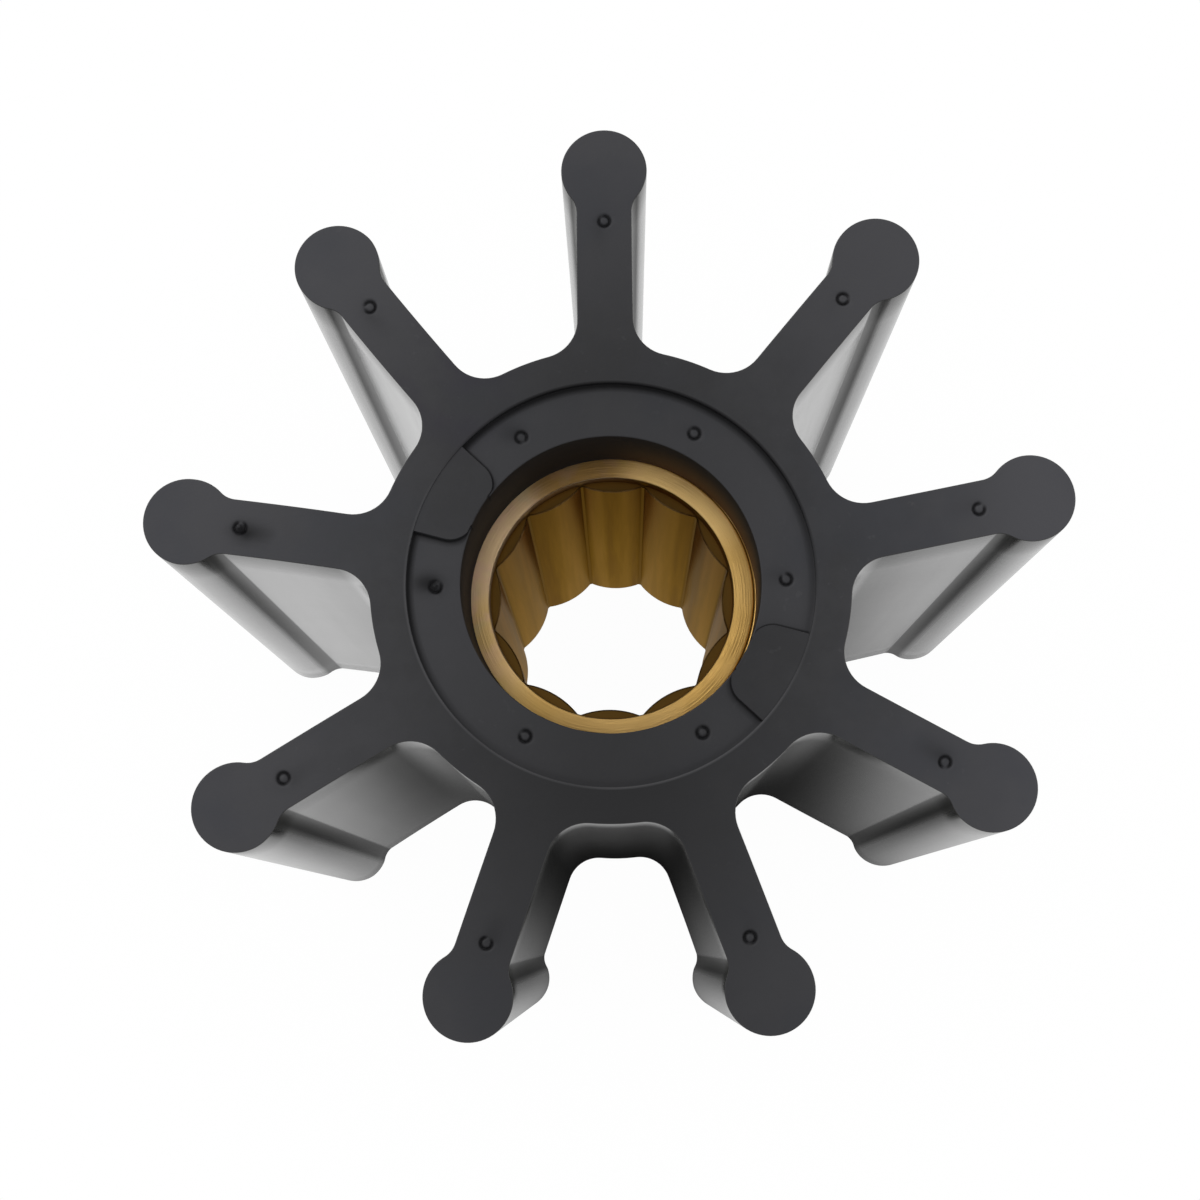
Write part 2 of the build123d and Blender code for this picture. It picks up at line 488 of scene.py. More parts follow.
def bent_columns(angle, radius):
    """Angles of the columns at a radius, leaning over beside the pads, and 1 where a pad stands.

    Inside a pad all offsets from its middle shrink in proportion to its edge. Beyond it they run
    evenly from the edge to where the lean has died out.
    """
    bent, on_pad = angle + 0 * radius, 0 * angle
    limit = PAD_HALF_SPREAD + PAD_EASE
    for centre in PAD_CENTRES:
        offset = wrapped(angle - centre)
        size = np.abs(offset)
        narrowed = pad_edge(radius)
        inside = size * narrowed / PAD_HALF_SPREAD
        beyond = narrowed + (size - PAD_HALF_SPREAD) * (limit - narrowed) / PAD_EASE
        new_size = np.where(size <= PAD_HALF_SPREAD, inside, np.where(size < limit, beyond, size))
        bent = bent + np.sign(offset) * (new_size - size)
        on_pad = on_pad + (size < PAD_HALF_SPREAD)
    return bent, on_pad


def bore_columns():
    """Angles of the columns: evenly spaced, finer beside each mark, and one each side of a pad's step."""
    mark_places = 2 * np.pi * np.arange(RECESS_MARK_COUNT) / RECESS_MARK_COUNT
    fans = mark_places[:, None] + MARK_FAN / RECESS_MARK_PLACE
    sides = PAD_CENTRES[:, None] + np.array([-1, 1]) * PAD_HALF_SPREAD
    steps = sides.reshape(-1, 1) + np.array([-1, 1]) * PAD_STEP
    special = wrapped(np.concatenate([fans.ravel(), steps.ravel()]))
    even = wrapped(np.radians(np.arange(0, 360, 1.5)))
    clearance = np.abs(wrapped(even[:, None] - special)).min(axis=1)
    return np.sort(np.concatenate([special, even[clearance > np.radians(0.4)]]))


# %% Bore grid
def bore_rows():
    """Radius, height, share of recess depth, radius whose lean is used and share of flash."""
    lip, rim = LIP_ROUNDING, RIM_ROUNDING
    no_lean = RECESS_RADIUS
    rows = [(REAR_MOUTH_RADIUS + 0.7, 0, 0, no_lean)]
    rows += [
        (REAR_MOUTH_RADIUS + lip * (1 - np.sin(a)), lip * (1 - np.cos(a)), 0, no_lean)
        for a in QUARTER_TURN
    ]
    thirds = (INSERT_BOTTOM / 3, INSERT_BOTTOM * 2 / 3, INSERT_BOTTOM)
    rows += [(REAR_MOUTH_RADIUS, z, 0, no_lean) for z in thirds]
    rows += [(INSERT_RADIUS, z, 0, no_lean) for z in (INSERT_BOTTOM, LENGTH / 2, INSERT_TOP)]
    rows += [
        (MOUTH_RADIUS, INSERT_TOP + z, 0, MOUTH_RADIUS, flash)
        for z, flash in ((0.02, 1), (0.12, 0.85), (0.4, 0.5), (1.2, 0.15), (3, 0), (6, 0))
    ]
    rows += [
        (MOUTH_RADIUS + lip * (1 - np.sin(a)), LENGTH - lip * (1 - np.cos(a)), 1, MOUTH_RADIUS)
        for a in QUARTER_TURN[::-1]
    ]
    # Rows up the pad's rounded corner are evenly spaced in angle about the corner's own centre.
    corner_share = np.arange(1, 9) / 8
    corner_rows = MOUTH_RADIUS + lip + (RECESS_MARK_PLACE - 1.0 - MOUTH_RADIUS - lip) * corner_share**1.6
    mark_rows = RECESS_MARK_PLACE + MARK_FAN
    outer_rows = [RECESS_MARK_PLACE + 1.4, RECESS_RADIUS - 0.8, RECESS_RADIUS - 0.4, RECESS_RADIUS - 0.15]
    floor = np.concatenate([corner_rows, mark_rows, outer_rows])
    rows += [(r, LENGTH, 1, r) for r in floor]
    rows += [(RECESS_RADIUS, LENGTH, 0.93, no_lean)]
    rows += [
        (RECESS_RADIUS + rim * (1 - np.cos(a)), LENGTH - rim * (1 - np.sin(a)), 0, no_lean)
        for a in QUARTER_TURN
    ]
    rows += [(RECESS_RADIUS + 0.3, LENGTH, 0, no_lean)]
    return np.array([row if len(row) == 5 else (*row, 0) for row in rows])


def bore_grid():
    """Points of the recess, mouths and pocket, with masks: end faces, painted shade, mouth walls, and the
    edge's painted highlight.
    """
    radius, height, depth_share, lean_radius, flash_share = bore_rows().T[:, :, None]
    angle, on_pad = bent_columns(bore_angles, lean_radius)
    radius = radius - FLASH_WIDTH * flash_share * (1 + np.cos(angle - FLASH_SIDE)) / 2
    drop = np.where(on_pad > 0, PAD_DROP, RECESS_DEPTH)
    x, y = radius * np.cos(angle), radius * np.sin(angle)
    z = height - depth_share * drop
    groove = np.zeros_like(z)
    on_floor = depth_share == 1
    for number, look in enumerate(mark_looks(RECESS_MARK_COUNT, tall=3, seed=8)):
        place = 2 * np.pi * number / RECESS_MARK_COUNT
        rise, mark_shade = mark_height(
            x - RECESS_MARK_PLACE * np.cos(place), y - RECESS_MARK_PLACE * np.sin(place), look
        )
        z = z + rise * on_floor
        # The marks' painted shade.
        groove = groove + mark_shade * on_floor
    within = (height >= LIP_ROUNDING) & (height <= LENGTH - LIP_ROUNDING)
    in_mouth = np.broadcast_to(within.astype(float), z.shape)
    # Painted shade at the foot of each step in the recess, strongest towards the top, joins the grooves'
    # mask.
    foot = np.clip((radius - RECESS_RADIUS + 0.6) / 0.4, 0, 1)
    foot_shade = (depth_share > 0) * (on_pad == 0) * foot
    shade_beside_pad = (on_pad == 0) & ((np.roll(on_pad, 1) > 0) | (np.roll(on_pad, -1) > 0))
    # Painted shade: below a step that faces down, it reaches one column further out.
    for step in (-2, 2):
        shade_below_pad = (on_pad == 0) & (np.roll(on_pad, step) > 0) & (np.roll(y, step, axis=1) > y)
        groove = np.maximum(groove, shade_below_pad * on_floor * 0.3)
    # The recess's edge carries a painted shadow at the top and a painted highlight elsewhere.
    shadowed_rim_side = np.cos(angle - np.radians(70))
    rim = (depth_share == 0) & (radius > RECESS_RADIUS - 0.01) & (radius < RECESS_RADIUS + 0.1)
    # Painted shade at the foot of the steps.
    groove = np.maximum(groove, foot_shade * np.clip(np.cos(angle - np.radians(110)) + 0.75, 0.15, 1))
    # Painted shadow on the recess's edge at the top.
    groove = np.maximum(groove, rim * np.clip(shadowed_rim_side * 1.5 - 0.2, 0, 0.9))
    # Painted shade on the floor beside each pad's step.
    groove = np.maximum(groove, shade_beside_pad & on_floor)
    # Painted highlight on the rest of the recess's edge.
    rim_highlight = rim * np.clip(0.7 - shadowed_rim_side, 0, 1)
    return np.stack([x, y, z], -1), 1 - in_mouth, groove, in_mouth, rim_highlight


bore_angles = bore_columns()
bore_points, bore_end, bore_painted_shade, bore_mouth, bore_rim_highlight = bore_grid()
print("bore grid:", bore_points.shape[:2])

# %% [markdown]
# ## One closed rubber body
#
# The outside and the bore now meet at two seams, one on each end face. Both lie on flat rubber, so
# the sewn triangles there can't be seen. Only the columns whose spine lies on the circle take part:
# the ones that run out along the vanes fold onto each other and are merged.

# %% Sew and make the rubber body
def spine_ring(row):
    """Point numbers and angles of an outside row's points on the hub circle, in order of angle."""
    on_circle = np.tile(section <= ROOT, VANE_COUNT)
    columns = np.flatnonzero(on_circle)
    x, y = outside_points[row, columns, 0], outside_points[row, columns, 1]
    angles = np.arctan2(y, x)
    order = np.argsort(angles)
    columns, angles = columns[order], angles[order]
    distinct = np.append(True, np.diff(angles) > 1e-6)
    first = (row % len(outside_points)) * outside_points.shape[1]
    return first + columns[distinct], angles[distinct]


outside_count = outside_points.shape[0] * outside_points.shape[1]
bore_first_row = outside_count + np.arange(len(bore_angles))
bore_last_row = bore_first_row + (len(bore_points) - 1) * len(bore_angles)

rubber_faces = [
    ring_quads(*outside_points.shape[:2]),
    ring_quads(*bore_points.shape[:2], first=outside_count),
    sewn_rings(*spine_ring(-1), bore_first_row, bore_angles),
    sewn_rings(bore_last_row, bore_angles, *spine_ring(0)),
]
rubber_masks = {
    name: np.concatenate([outside.ravel(), bore.ravel()])
    for name, outside, bore in (
        ("end_face", outside_end, bore_end),
        # Painted shade of the marks, steps, pads and the recess's top edge.
        ("groove", outside_painted_shade, bore_painted_shade),
        ("mouth", 0 * outside_end, bore_mouth),
        ("crease", outside_crease, 0 * bore_mouth),
        # The recess edge's painted highlight.
        ("rim_highlight", 0 * outside_end, bore_rim_highlight),
    )
}
rubber_points = np.concatenate([outside_points.reshape(-1, 3), bore_points.reshape(-1, 3)])
rubber = make_piece("rubber_impeller", rubber_points, rubber_faces, rubber_masks, sharp_angle=38)
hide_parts("rubber_body")

# %% [markdown]
# ## The splined insert
#
# The insert is turned from brass bar and broached. From its front ring face a short counterbore
# leads down to twelve rounded ribs, which run right through to the rear ring face. Because every row
# goes round the same columns, the whole insert is one closed sheet: in under the rear ring face, up
# the bore, out over the front ring face and down the outside.

# %% Section of the splined bore
RIB_COUNT = 12
RIB_PITCH = 2 * np.pi / RIB_COUNT
FIRST_RIB = np.radians(-1.7)
SPLINE_ROOT = 25.14 / 2
RIB_FACE_RADIUS = 8.6
RIB_CENTRE = 23.2 / 2 + RIB_FACE_RADIUS  # distance of a rib face's centre from the shaft axis
COUNTERBORE_RADIUS = 25.44 / 2
SPLINE_TOP = INSERT_TOP - 1.8  # the counterbore is that deep
BEAD_GROOVE = (29.8 / 2, 0.15, 0.2)  # middle radius, half width, depth
INNER_CHAMFER = 0.25
RIB_CHAMFER = 0.15


def rib_corner():
    """Angle beside a rib's middle at which its round face meets the root circle, by the law of cosines."""
    cosine = (SPLINE_ROOT**2 + RIB_CENTRE**2 - RIB_FACE_RADIUS**2) / (2 * SPLINE_ROOT * RIB_CENTRE)
    return np.arccos(cosine)


def spline_radius(angle):
    """Radius of the splined bore: the near side of the rib face's circle, no larger than the root."""
    beside = np.abs((angle - FIRST_RIB + RIB_PITCH / 2) % RIB_PITCH - RIB_PITCH / 2)
    reach = RIB_FACE_RADIUS**2 - (RIB_CENTRE * np.sin(beside)) ** 2
    face = RIB_CENTRE * np.cos(beside) - np.sqrt(np.maximum(reach, 0))
    return np.minimum(face, SPLINE_ROOT)


def spline_columns():
    """Angles of the columns: each rib's face is divided evenly and its corners get a column each."""
    face = np.linspace(-rib_corner(), rib_corner(), 31)
    one_rib = np.append(face, RIB_PITCH / 2)
    return (FIRST_RIB + RIB_PITCH * np.arange(RIB_COUNT)[:, None] + one_rib).ravel()


# %% Make the insert
def insert_rows():
    """Plain radius, height, share of the spline in the radius and how much wider than it the row is."""
    bore, outside = COUNTERBORE_RADIUS, INSERT_RADIUS
    groove, half_width, depth = BEAD_GROOVE

    rows = [(outside, INSERT_BOTTOM + 0.05, 0, 0), (outside - 0.05, INSERT_BOTTOM, 0, 0)]
    rows += [(bore + 0.4, INSERT_BOTTOM, 0, 0), (bore, INSERT_BOTTOM, 1, RIB_CHAMFER)]
    along_ribs = np.linspace(INSERT_BOTTOM + RIB_CHAMFER, SPLINE_TOP - RIB_CHAMFER, 14)
    rows += [(bore, z, 1, 0) for z in along_ribs]
    rows += [(bore, SPLINE_TOP, 1, RIB_CHAMFER), (bore - 0.03, SPLINE_TOP, 0, 0)]
    rows += [(bore, SPLINE_TOP + 0.03, 0, 0)]
    front_steps = [
        (bore, INNER_CHAMFER), (bore + 0.05, 0.07), (bore + 0.12, 0), (bore + 0.4, 0),
        (groove - half_width - 0.1, 0), (groove - half_width, 0.02), (groove, depth),
        (groove + half_width, 0.02), (groove + half_width + 0.1, 0), (outside - 0.05, 0),
        (outside, 0.05),
    ]
    rows += [(r, INSERT_TOP - sink, 0, 0) for r, sink in front_steps]
    return np.array(rows)


def insert_grid():
    """Points of the insert, with a mask for each part of it that has a colour of its own or painted light.

    A row's radius is its plain radius, or the spline's radius plus an offset kept inside the
    counterbore.
    """
    plain, height, share, offset = insert_rows().T[:, :, None]
    angle = spline_columns()
    splined = np.minimum(spline_radius(angle) + offset, COUNTERBORE_RADIUS - 0.06)
    radius = (1 - share) * plain + share * splined
    x, y = radius * np.cos(angle), radius * np.sin(angle)
    z = height + 0 * angle
    masks = {
        "ring_face": (plain > COUNTERBORE_RADIUS + 0.1) & (share == 0),
        "bead": (plain == BEAD_GROOVE[0]) & (share == 0),
        "chamfer": (plain >= COUNTERBORE_RADIUS) & (plain < COUNTERBORE_RADIUS + 0.1)
        & (height > SPLINE_TOP + 0.1),
        "rib_end_shade": ((share == 1) & (offset > 0)) | ((plain <= COUNTERBORE_RADIUS) & (share == 0)),
        "spline": share == 1,
        "rim": (plain > BEAD_GROOVE[0] + BEAD_GROOVE[1] + 0.05) & (height > SPLINE_TOP),
        "root_line": (share == 1) & (offset == 0) & (spline_radius(angle) > SPLINE_ROOT - 0.001),
    }
    masks = {name: np.broadcast_to(rows, z.shape).ravel() for name, rows in masks.items()}
    return np.stack([x, y, z], -1), masks


insert_points, insert_masks = insert_grid()
rows, columns = insert_points.shape[:2]
bottom_ring = np.arange(columns)
top_ring = (rows - 1) * columns + bottom_ring
# The last row, round the outside's top edge, joins the first, round its bottom edge.
outside_quads = [top_ring, bottom_ring, np.roll(bottom_ring, -1), np.roll(top_ring, -1)]
insert_faces = [ring_quads(rows, columns), np.stack(outside_quads, -1)]
insert_points = insert_points.reshape(-1, 3)
insert = make_piece("splined_insert", insert_points, insert_faces, insert_masks, sharp_angle=24)
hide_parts("brass_insert")

# %% [markdown]
# ## Shader arithmetic
#
# A finish is mostly arithmetic on a few patterns: this much of that stain, a little rougher where
# the mask is dark. Written as nodes, such sums are hard to read. The class below wraps a socket, so
# that an expression such as 1 - mask * 0.5 adds the Math nodes by itself.

# %% Shader arithmetic
class Wire:
    """A socket of a material, with arithmetic that adds Math nodes."""

    def __init__(self, socket):
        self.socket = socket
        self.tree = socket.id_data

    @staticmethod
    def node(tree, kind, sockets=None, output=0, **settings):
        """Adds one node with its settings, puts values or links on its sockets and gives one output.

        kind is the node's type without its prefix. A socket or an output is named, by its
        identifier or its label, or numbered.
        """
        added = tree.nodes.new("ShaderNode" + kind)
        for setting, value in settings.items():
            setattr(added, setting, value)
        for key, value in (sockets or {}).items():
            target = Wire.find(added.inputs, key)
            if isinstance(value, Wire):
                tree.links.new(value.socket, target)
            else:
                target.default_value = value
        return Wire(Wire.find(added.outputs, output))

    @staticmethod
    def find(sockets, key):
        """One socket of a node, by number, identifier or label."""
        if isinstance(key, int):
            return sockets[key]
        named = [s for s in sockets if s.identifier == key] or [s for s in sockets if s.name == key]
        return named[0]

    def math(self, operation, *others):
        """A Math node with this wire first and up to two other wires or numbers."""
        values = {place: other for place, other in enumerate((self, *others))}
        return Wire.node(self.tree, "Math", values, operation=operation)

    def __add__(self, other):
        return self.math("ADD", other)

    def __sub__(self, other):
        return self.math("SUBTRACT", other)

    def __mul__(self, other):
        return self.math("MULTIPLY", other)

    def __truediv__(self, other):
        return self.math("DIVIDE", other)

    def __pow__(self, other):
        return self.math("POWER", other)

    def __rsub__(self, other):
        return Wire.node(self.tree, "Math", {0: other, 1: self}, operation="SUBTRACT")

    __radd__ = __add__

    def clamped(self):
        """This value kept between 0 and 1."""
        return Wire.node(self.tree, "Clamp", {"Value": self})

    def between(self, low, high):
        """0 at low, 1 at high and a smooth step between them."""
        ends = {"Value": self, "From Min": low, "From Max": high}
        return Wire.node(self.tree, "MapRange", ends, interpolation_type="SMOOTHSTEP")


def blended(factor, first, second):
    """First colour where factor is 0, second where it is 1. Either may be a wire or a colour."""
    values = {"Factor_Float": factor}
    for key, colour in (("A_Color", first), ("B_Color", second)):
        values[key] = colour if isinstance(colour, Wire) else (*colour, 1)
    return Wire.node(factor.tree, "Mix", values, "Result_Color", data_type="RGBA")


def tinted(colour, *tints):
    """A colour with tints laid over it in turn, each given as how much of it and its colour."""
    for factor, tint in tints:
        colour = blended(factor, colour, tint)
    return colour


def vector_math(operation, place, other=(0, 0, 0)):
    """One number from a place: its length, or its distance from or dot product with another."""
    return Wire.node(place.tree, "VectorMath", {0: place, 1: other}, "Value", operation=operation)


def noise(place, scale, detail=2.0, roughness=0.5):
    """Soft noise from 0 to 1 with about scale lumps to the metre."""
    sockets = {"Vector": place, "Scale": scale, "Detail": detail, "Roughness": roughness}
    return Wire.node(place.tree, "TexNoise", sockets, "Fac")


def new_finish(name):
    """An empty material with its shader, its tree and the piece's own coordinates."""
    material = bpy.data.materials.new(name)
    material.use_nodes = True
    tree = material.node_tree
    shader = tree.nodes["Principled BSDF"]
    place = Wire.node(tree, "TexCoord", {}, "Object")
    return material, tree, shader, place


def position(place):
    """X, Y and Z of a place, and its distance from the shaft axis."""
    x, y, z = (Wire.node(place.tree, "SeparateXYZ", {0: place}, axis) for axis in "XYZ")
    return x, y, z, (x * x + y * y) ** 0.5


def drawn_along(place, share):
    """The same place with its height shrunk, so that noise there reads as streaks along the axis."""
    return Wire.node(place.tree, "Mapping", {"Vector": place, "Scale": (1, 1, share)})


def mask(tree, name):
    """A mask that the mesh carries."""
    return Wire.node(tree, "Attribute", {}, "Fac", attribute_name=name)


def feed(shader, socket, wire):
    """Links a wire to one of the shader's sockets."""
    shader.id_data.links.new(wire.socket, shader.inputs[socket])


def relief(tree, height, distance):
    """A Bump node's normal for a height from 0 to 1 that stands for distance in metres."""
    return Wire.node(tree, "Bump", {"Height": height, "Distance": distance})


# %% [markdown]
# ## Moulded rubber
#
# Both end faces were pressed against a plain steel mould face and are matt charcoal, faintly mottled,
# a little darker round the hub, with a violet bloom at one vane's root. Their tips are paler towards
# the top and the right bulb paler still, as painted light. The flanks slid along polished mould walls
# when the part was drawn out: they are smoother and carry a thin clear coat, so at a glancing angle
# they mirror whatever lies beyond. The mesh's end_face mask chooses between the two. Painted shade in
# the marks, at the foot of steps and beside the pads must not shine, so it is a plain dark diffuse
# shader, mixed in where the groove mask says. The recess's edge carries a painted shadow and a
# painted highlight.

# %% Colour of the end faces
def pressed_colour(place, clouds, mottle):
    """Mottled charcoal, with the pale, dark, blue and violet parts laid over it in turn, the pale partly
    painted light.
    """
    x, y, z, from_axis = position(place)
    tips = from_axis.between(0.018, 0.046)
    floor = 1 - z.between((LENGTH - 0.6) * MM, (LENGTH - 0.3) * MM)
    # Painted light: the tips are paler towards the top, and the right bulb paler still.
    right_bulb_light = x.between(0.034, 0.044) * 0.6
    upward_light = (y + x * 0.3).between(-0.045, 0.010)
    sideways = (x * x) ** 0.5 / from_axis
    paler = (tips * (upward_light * 0.25 + 0.5) + clouds * 0.3 + floor * (sideways * 0.26 + 0.24)).clamped()
    # A faint blue bloom in clouds, and small pale scuffs from handling.
    bluish = noise(place, 95, detail=4).between(0.48, 0.72)
    scuffs = noise(place, 900).between(0.66, 0.74) * noise(place, 60).between(0.45, 0.6)
    # The middle of the face is darker, most of all below the bore.
    across, below = x / 0.020, (y + 0.010) / 0.046
    darker = (0 - across * across - below * below).math("EXPONENT") * (1 - floor * 0.3)
    # A violet bloom where one vane meets the hub.
    from_bloom = vector_math("DISTANCE", place, (-0.017, 0.021, LENGTH * MM))
    bloom = (1 - from_bloom.between(0.003, 0.010)) * noise(place, 150, detail=3).between(0.35, 0.6)
    return tinted(
        blended(mottle.between(0.3, 0.7), (0.0265, 0.0265, 0.0285), (0.0405, 0.0405, 0.0435)),
        (paler, (0.056, 0.056, 0.0620)),
        (right_bulb_light, (0.070, 0.070, 0.078)),
        (bluish * 0.35, (0.030, 0.033, 0.043)),
        (scuffs * 0.3, (0.075, 0.075, 0.080)),
        (darker * 0.97, (0.0062, 0.0062, 0.0071)),
        (bloom * 0.45, (0.018, 0.014, 0.026)),
    )


# %% Rubber finish
def rubber_finish():
    material, tree, shader, place = new_finish("moulded rubber")
    end_face, groove, mouth, crease, rim_highlight = (
        mask(tree, name) for name in ("end_face", "groove", "mouth", "crease", "rim_highlight")
    )
    x, y, z, from_axis = position(place)
    mottle = noise(place, 220, detail=5, roughness=0.62)
    clouds = noise(place, 38)

    # Drawing out of the mould left faint lines along the walls.
    drawn = noise(drawn_along(place, 0.03), 620, detail=3)
    wall_colour = blended(clouds * 0.6 + drawn * 0.4, (0.019, 0.0192, 0.018), (0.030, 0.0303, 0.0285))
    # The mouth is brown beside the insert, on the right.
    beside_insert = 1 - z.between(INSERT_TOP * MM, INSERT_TOP * MM + 0.007)
    right_side = ((x + y * 0.35) / from_axis).between(0.2, 1.0)
    mouth_colour = blended(beside_insert * right_side, (0.0065, 0.004, 0.0025), (0.065, 0.030, 0.010))
    colour = tinted(
        wall_colour,
        (end_face, pressed_colour(place, clouds, mottle)),
        (mouth, mouth_colour),
        # Painted shade where the groove mask says, and a painted highlight on the recess's edge.
        (groove * 0.75, (0.005, 0.005, 0.006)),
        (rim_highlight * clouds.between(0.35, 0.6) * 0.4, (0.11, 0.11, 0.115)),
    )
    feed(shader, "Base Color", colour)

    face_roughness = 0.54 + mottle * 0.14
    wall_roughness = 0.165 + clouds * 0.06 + drawn * 0.05 + crease * 0.22
    roughness = wall_roughness * (1 - end_face) + face_roughness * end_face
    roughness = roughness * (1 - mouth) + mouth * 0.78
    feed(shader, "Roughness", roughness)
    shader.inputs["IOR"].default_value = 1.36
    feed(shader, "Coat Weight", (1 - end_face) * (1 - mouth) * (1 - crease * 0.7) * 0.44)
    shader.inputs["Coat Roughness"].default_value = 0.15

    grain = noise(place, 2600, detail=3) * end_face * 0.6 + noise(place, 500) * 0.4
    feed(shader, "Normal", relief(tree, grain, 0.00003))

    # Painted shade, as a dark diffuse shader that doesn't shine.
    painted_shade = Wire.node(tree, "BsdfDiffuse", {"Color": (0.004, 0.004, 0.004, 1)}, "BSDF")
    shade_mix = {0: groove * 0.55, 1: Wire(shader.outputs["BSDF"]), 2: painted_shade}
    surface = Wire.node(tree, "MixShader", shade_mix, "Shader")
    tree.links.new(surface.socket, tree.nodes["Material Output"].inputs["Surface"])
    return material


rubber.data.materials.append(rubber_finish())

# %% [markdown]
# ## Tarnished brass
#
# The ring face was turned, so it shows fine rings round the axis. They are noise along the radius
# with a slight wander, because evenly spaced rings would beat against the picture's pixels. The
# face is stained with rose and green bloom on one side, and it is duller at the bottom. The bright
# yellow on the other side, at the upper right, is a painted highlight of the turned rings, and the
# brown at the top is painted shade. The broached splines are a dark olive gold, streaked along the
# axis by the broach's teeth. The ends of the ribs are painted almost brown, as painted shade, and the
# inner chamfer carries a painted highlight on the left and painted shade elsewhere.

# %% Colour of the ring face
def ring_colour(place, patches, left_side):
    """Yellow brass with its stains, a painted highlight and painted shade. Each side's tint lies within a
    range of the cosine to it.
    """
    x, y, _, from_axis = position(place)
    rose = left_side * noise(place, 420, detail=3).between(0.42, 0.62)
    green = left_side * noise(place, 300).between(0.5, 0.7)
    left, upper_left, upper_right_highlight, top_shade, bottom = (
        ((x * right + y * up) / from_axis).between(low, high)
        for right, up, low, high in (
            (-1, 0, 0.5, 0.9), (-0.87, 0.5, 0.80, 0.96), (0.6, 0.8, 0.80, 0.97),
            (-0.26, 0.966, 0.88, 0.99), (0, -1, 0.75, 0.97),
        )
    )
    return tinted(
        blended(patches.between(0.35, 0.65), (0.68, 0.42, 0.125), (0.76, 0.485, 0.16)),
        (left * 0.8, (0.84, 0.58, 0.25)),
        # Painted highlight of the turned rings at the upper right.
        (upper_right_highlight, (1.0, 0.68, 0.27)),
        (upper_left * 0.5, (0.95, 0.72, 0.50)),
        (rose * 0.5, (0.86, 0.54, 0.40)),
        (green * 0.35, (0.62, 0.58, 0.36)),
        # Painted shade at the top.
        (top_shade * 0.74, (0.24, 0.13, 0.045)),
        (bottom * 0.5, (0.46, 0.30, 0.12)),
    )


# %% Brass finish
def brass_finish():
    material, tree, shader, place = new_finish("tarnished brass")
    masks = ("ring_face", "rib_end_shade", "spline", "bead", "chamfer", "rim", "root_line")
    ring, shaded_rib_ends, splines, bead, chamfer, rim, root_line = (mask(tree, name) for name in masks)
    x, y, _, from_axis = position(place)
    streaks = noise(drawn_along(place, 0.04), 900, detail=4, roughness=0.6)
    patches = noise(place, 160, detail=3)
    left_side = (0 - x + y * 0.6).between(0.002, 0.014)
    right_side = ((x + y * 0.5) / from_axis).between(0.3, 1.0)
    bands = noise(drawn_along(place, 0.008), 300)
    streaked = streaks.between(0.35, 0.65) * 0.4 + bands.between(0.40, 0.60) * 0.6
    spline_colour = blended(streaked, (0.15, 0.077, 0.031), (0.47, 0.305, 0.135))
    colour = tinted(
        ring_colour(place, patches, left_side),
        (splines, spline_colour),
        (root_line * 0.75, (0.10, 0.055, 0.016)),
        # Painted shade on the rib ends and the counterbore wall.
        (shaded_rib_ends, (0.115, 0.062, 0.014)),
        # Painted shade on the chamfer, with a painted highlight on its left side.
        (chamfer * (1 - left_side), (0.30, 0.19, 0.07)),
        (chamfer * left_side, (1.0, 0.86, 0.62)),
        (bead, (0.06, 0.035, 0.012)),
        (rim * (1 - right_side), (0.07, 0.04, 0.014)),
    )
    feed(shader, "Base Color", colour)

    shader.inputs["Metallic"].default_value = 1.0
    shader.inputs["Specular Tint"].default_value = (0.67, 0.48, 0.23, 1)
    roughness = (0.38 + patches * 0.1) * (1 - splines) + (0.3 + streaks * 0.12) * splines
    feed(shader, "Roughness", roughness)

    wander = {"X": from_axis, "Y": patches * 0.0002}
    along_radius = Wire.node(tree, "CombineXYZ", wander, "Vector")
    turning = noise(along_radius, 20000, detail=1)
    height = turning * ring * 1.4 + streaks * splines * 0.65
    feed(shader, "Normal", relief(tree, height, 0.00002))
    return material


insert.data.materials.append(brass_finish())

# %% [markdown]
# ## Floor, sky and lamps
#
# The impeller stands on a white table in soft light. To the camera, and to rays that mirror or pass
# through, the table is white, dimmed where a spot of it sees little open sky, for the camera only
# faintly. Mirrored rays also see a painted shadow on it: on the side away from the light, at the foot
# of the hub, a little towards +X, and held at 0.6 under the bore. That matters here: the rubber flanks
# mirror the table between the vanes, so a flank over an open gap looks pale and the walls of the
# narrow gap between the two lowest vanes look almost black. All other rays meet an ordinary pale
# table, which takes the object's shadow.

# %% Stage
def ray_kinds(tree):
    """Light Path's camera ray, and 1 for camera, mirror and transmission rays together."""
    camera_ray, glossy_ray, transmission_ray = (
        Wire.node(tree, "LightPath", {}, name)
        for name in ("Is Camera Ray", "Is Glossy Ray", "Is Transmission Ray")
    )
    return camera_ray, camera_ray.math("MAXIMUM", glossy_ray).math("MAXIMUM", transmission_ray)


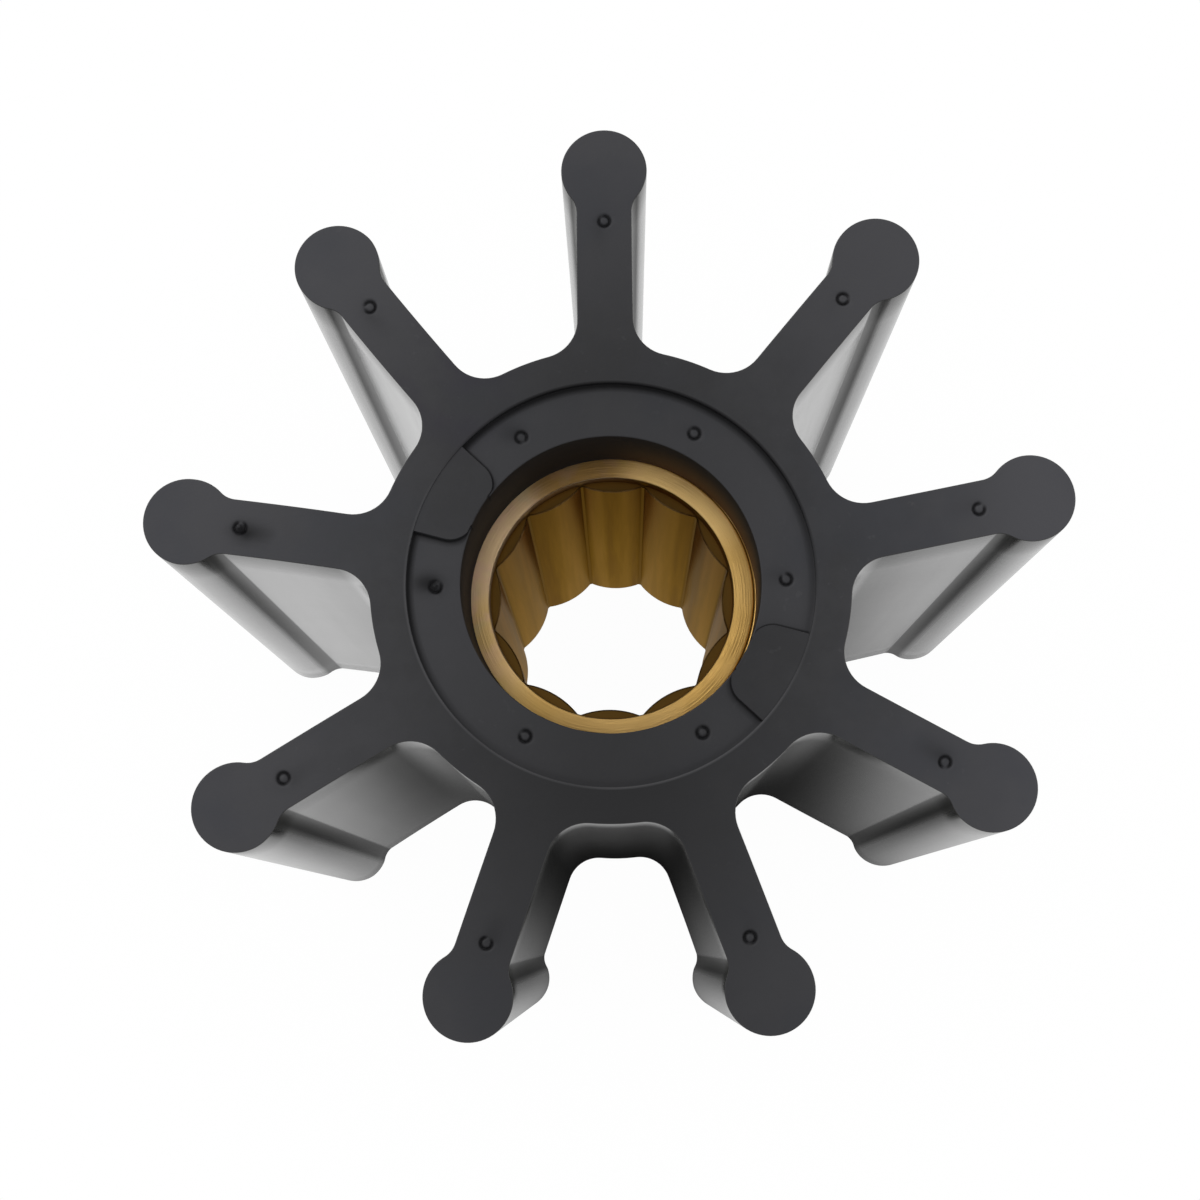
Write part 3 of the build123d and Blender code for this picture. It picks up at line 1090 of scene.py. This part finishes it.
def table_finish():
    material = bpy.data.materials.new("white table")
    material.use_nodes = True
    tree = material.node_tree
    tree.nodes.clear()
    camera_ray, seen = ray_kinds(tree)
    open_sky, near_sky = (
        Wire.node(tree, "AmbientOcclusion", {"Distance": reach}, "AO", samples=8)
        for reach in (0.07, 0.02)
    )
    place = Wire.node(tree, "TexCoord", {}, "Object")
    from_axis = vector_math("LENGTH", place)
    # Painted shadow for mirrored rays: on the side away from the light, at the hub's foot, and towards +X.
    away_from_light = vector_math("DOT_PRODUCT", place, (0.17, -0.985, 0))
    shadow_side = (away_from_light / from_axis).between(-0.3, 1.05)
    shadow = shadow_side * 0.82 * (1 - from_axis.between(0.026, 0.076))
    hub_foot_shadow = shadow_side * 0.78 * (1 - from_axis.between(0.026, 0.042))
    to_right = Wire.node(tree, "SeparateXYZ", {0: place}, "X") / from_axis
    mirrored = near_sky ** (shadow_side + 0.3) * (1 - shadow) * (1 - hub_foot_shadow)
    mirrored = mirrored * (1.1 - to_right.between(0.2, 1.0) * 0.17)
    # Painted shade under the bore, held at 0.6 for mirrored rays.
    shade_under_bore = 1 - from_axis.between(0.016, 0.020)
    mirrored = mirrored * (1 - shade_under_bore) + shade_under_bore * 0.6
    direct = 1 - (1 - open_sky) * 0.02
    brightness = (direct * camera_ray + mirrored * (1 - camera_ray)).clamped()
    grey = blended(brightness, (0, 0, 0), (1, 1, 1))
    white = Wire.node(tree, "Emission", {"Color": grey})
    cloth = Wire.node(tree, "BsdfDiffuse", {"Color": (0.86, 0.86, 0.86, 1)})
    surface = Wire.node(tree, "MixShader", {0: seen, 1: cloth, 2: white})
    tree.links.new(surface.socket, tree.nodes.new("ShaderNodeOutputMaterial").inputs["Surface"])
    return material


def make_table():
    """A flat round table top, wider than any view, a hair below the rear face."""
    radius, sunk = 3.0, 0.0001
    angle = np.linspace(0, 2 * np.pi, 96, endpoint=False)
    rim = np.stack([radius * np.cos(angle), radius * np.sin(angle), 0 * angle - sunk], -1)
    mesh = bpy.data.meshes.new("table")
    mesh.from_pydata(rim.tolist(), [], [list(range(len(angle)))])
    mesh.materials.append(table_finish())
    table = bpy.data.objects.new("table", mesh)
    bpy.context.scene.collection.objects.link(table)


make_table()


# %% Sky and lamps
def make_sky():
    """White to the camera. As light it is pale all round, and dimmer where the camera hangs."""
    world = bpy.data.worlds.new("studio")
    world.use_nodes = True
    bpy.context.scene.world = world
    tree = world.node_tree
    background = tree.nodes["Background"]
    camera_ray, seen = ray_kinds(tree)
    direction = Wire.node(tree, "TexCoord", {}, "Generated")
    overhead = vector_math("DOT_PRODUCT", direction, (0.16, 0.20, 0.966)).between(0.86, 1.0)
    ambient = 0.55 - overhead * 0.25
    mirrored = 1 - overhead * 0.7
    strength = camera_ray + (seen - camera_ray) * mirrored + (1 - seen) * ambient
    background.inputs["Color"].default_value = (1, 1, 1, 1)
    tree.links.new(strength.socket, background.inputs["Strength"])


def softbox(name, place, size, power):
    """A square area lamp that faces the middle of the impeller."""
    lamp = bpy.data.lights.new(name, "AREA")
    lamp.size = size
    lamp.energy = power
    holder = bpy.data.objects.new(name, lamp)
    holder.location = place
    towards = np.array([0, 0, LENGTH * MM / 2]) - np.array(place)
    holder.rotation_euler = Vector(towards).to_track_quat("-Z", "Y").to_euler()
    bpy.context.scene.collection.objects.link(holder)


make_sky()
softbox("upper_left_softbox", (-0.45, 0.50, 0.75), 0.5, 3.2)
softbox("right_softbox", (0.70, 0.10, 0.55), 0.4, 1.0)

# %% [markdown]
# ## Finish
#
# The view transform is plain, so colours render as they are written.

# %% Finish
bpy.context.scene.view_settings.view_transform = "Standard"
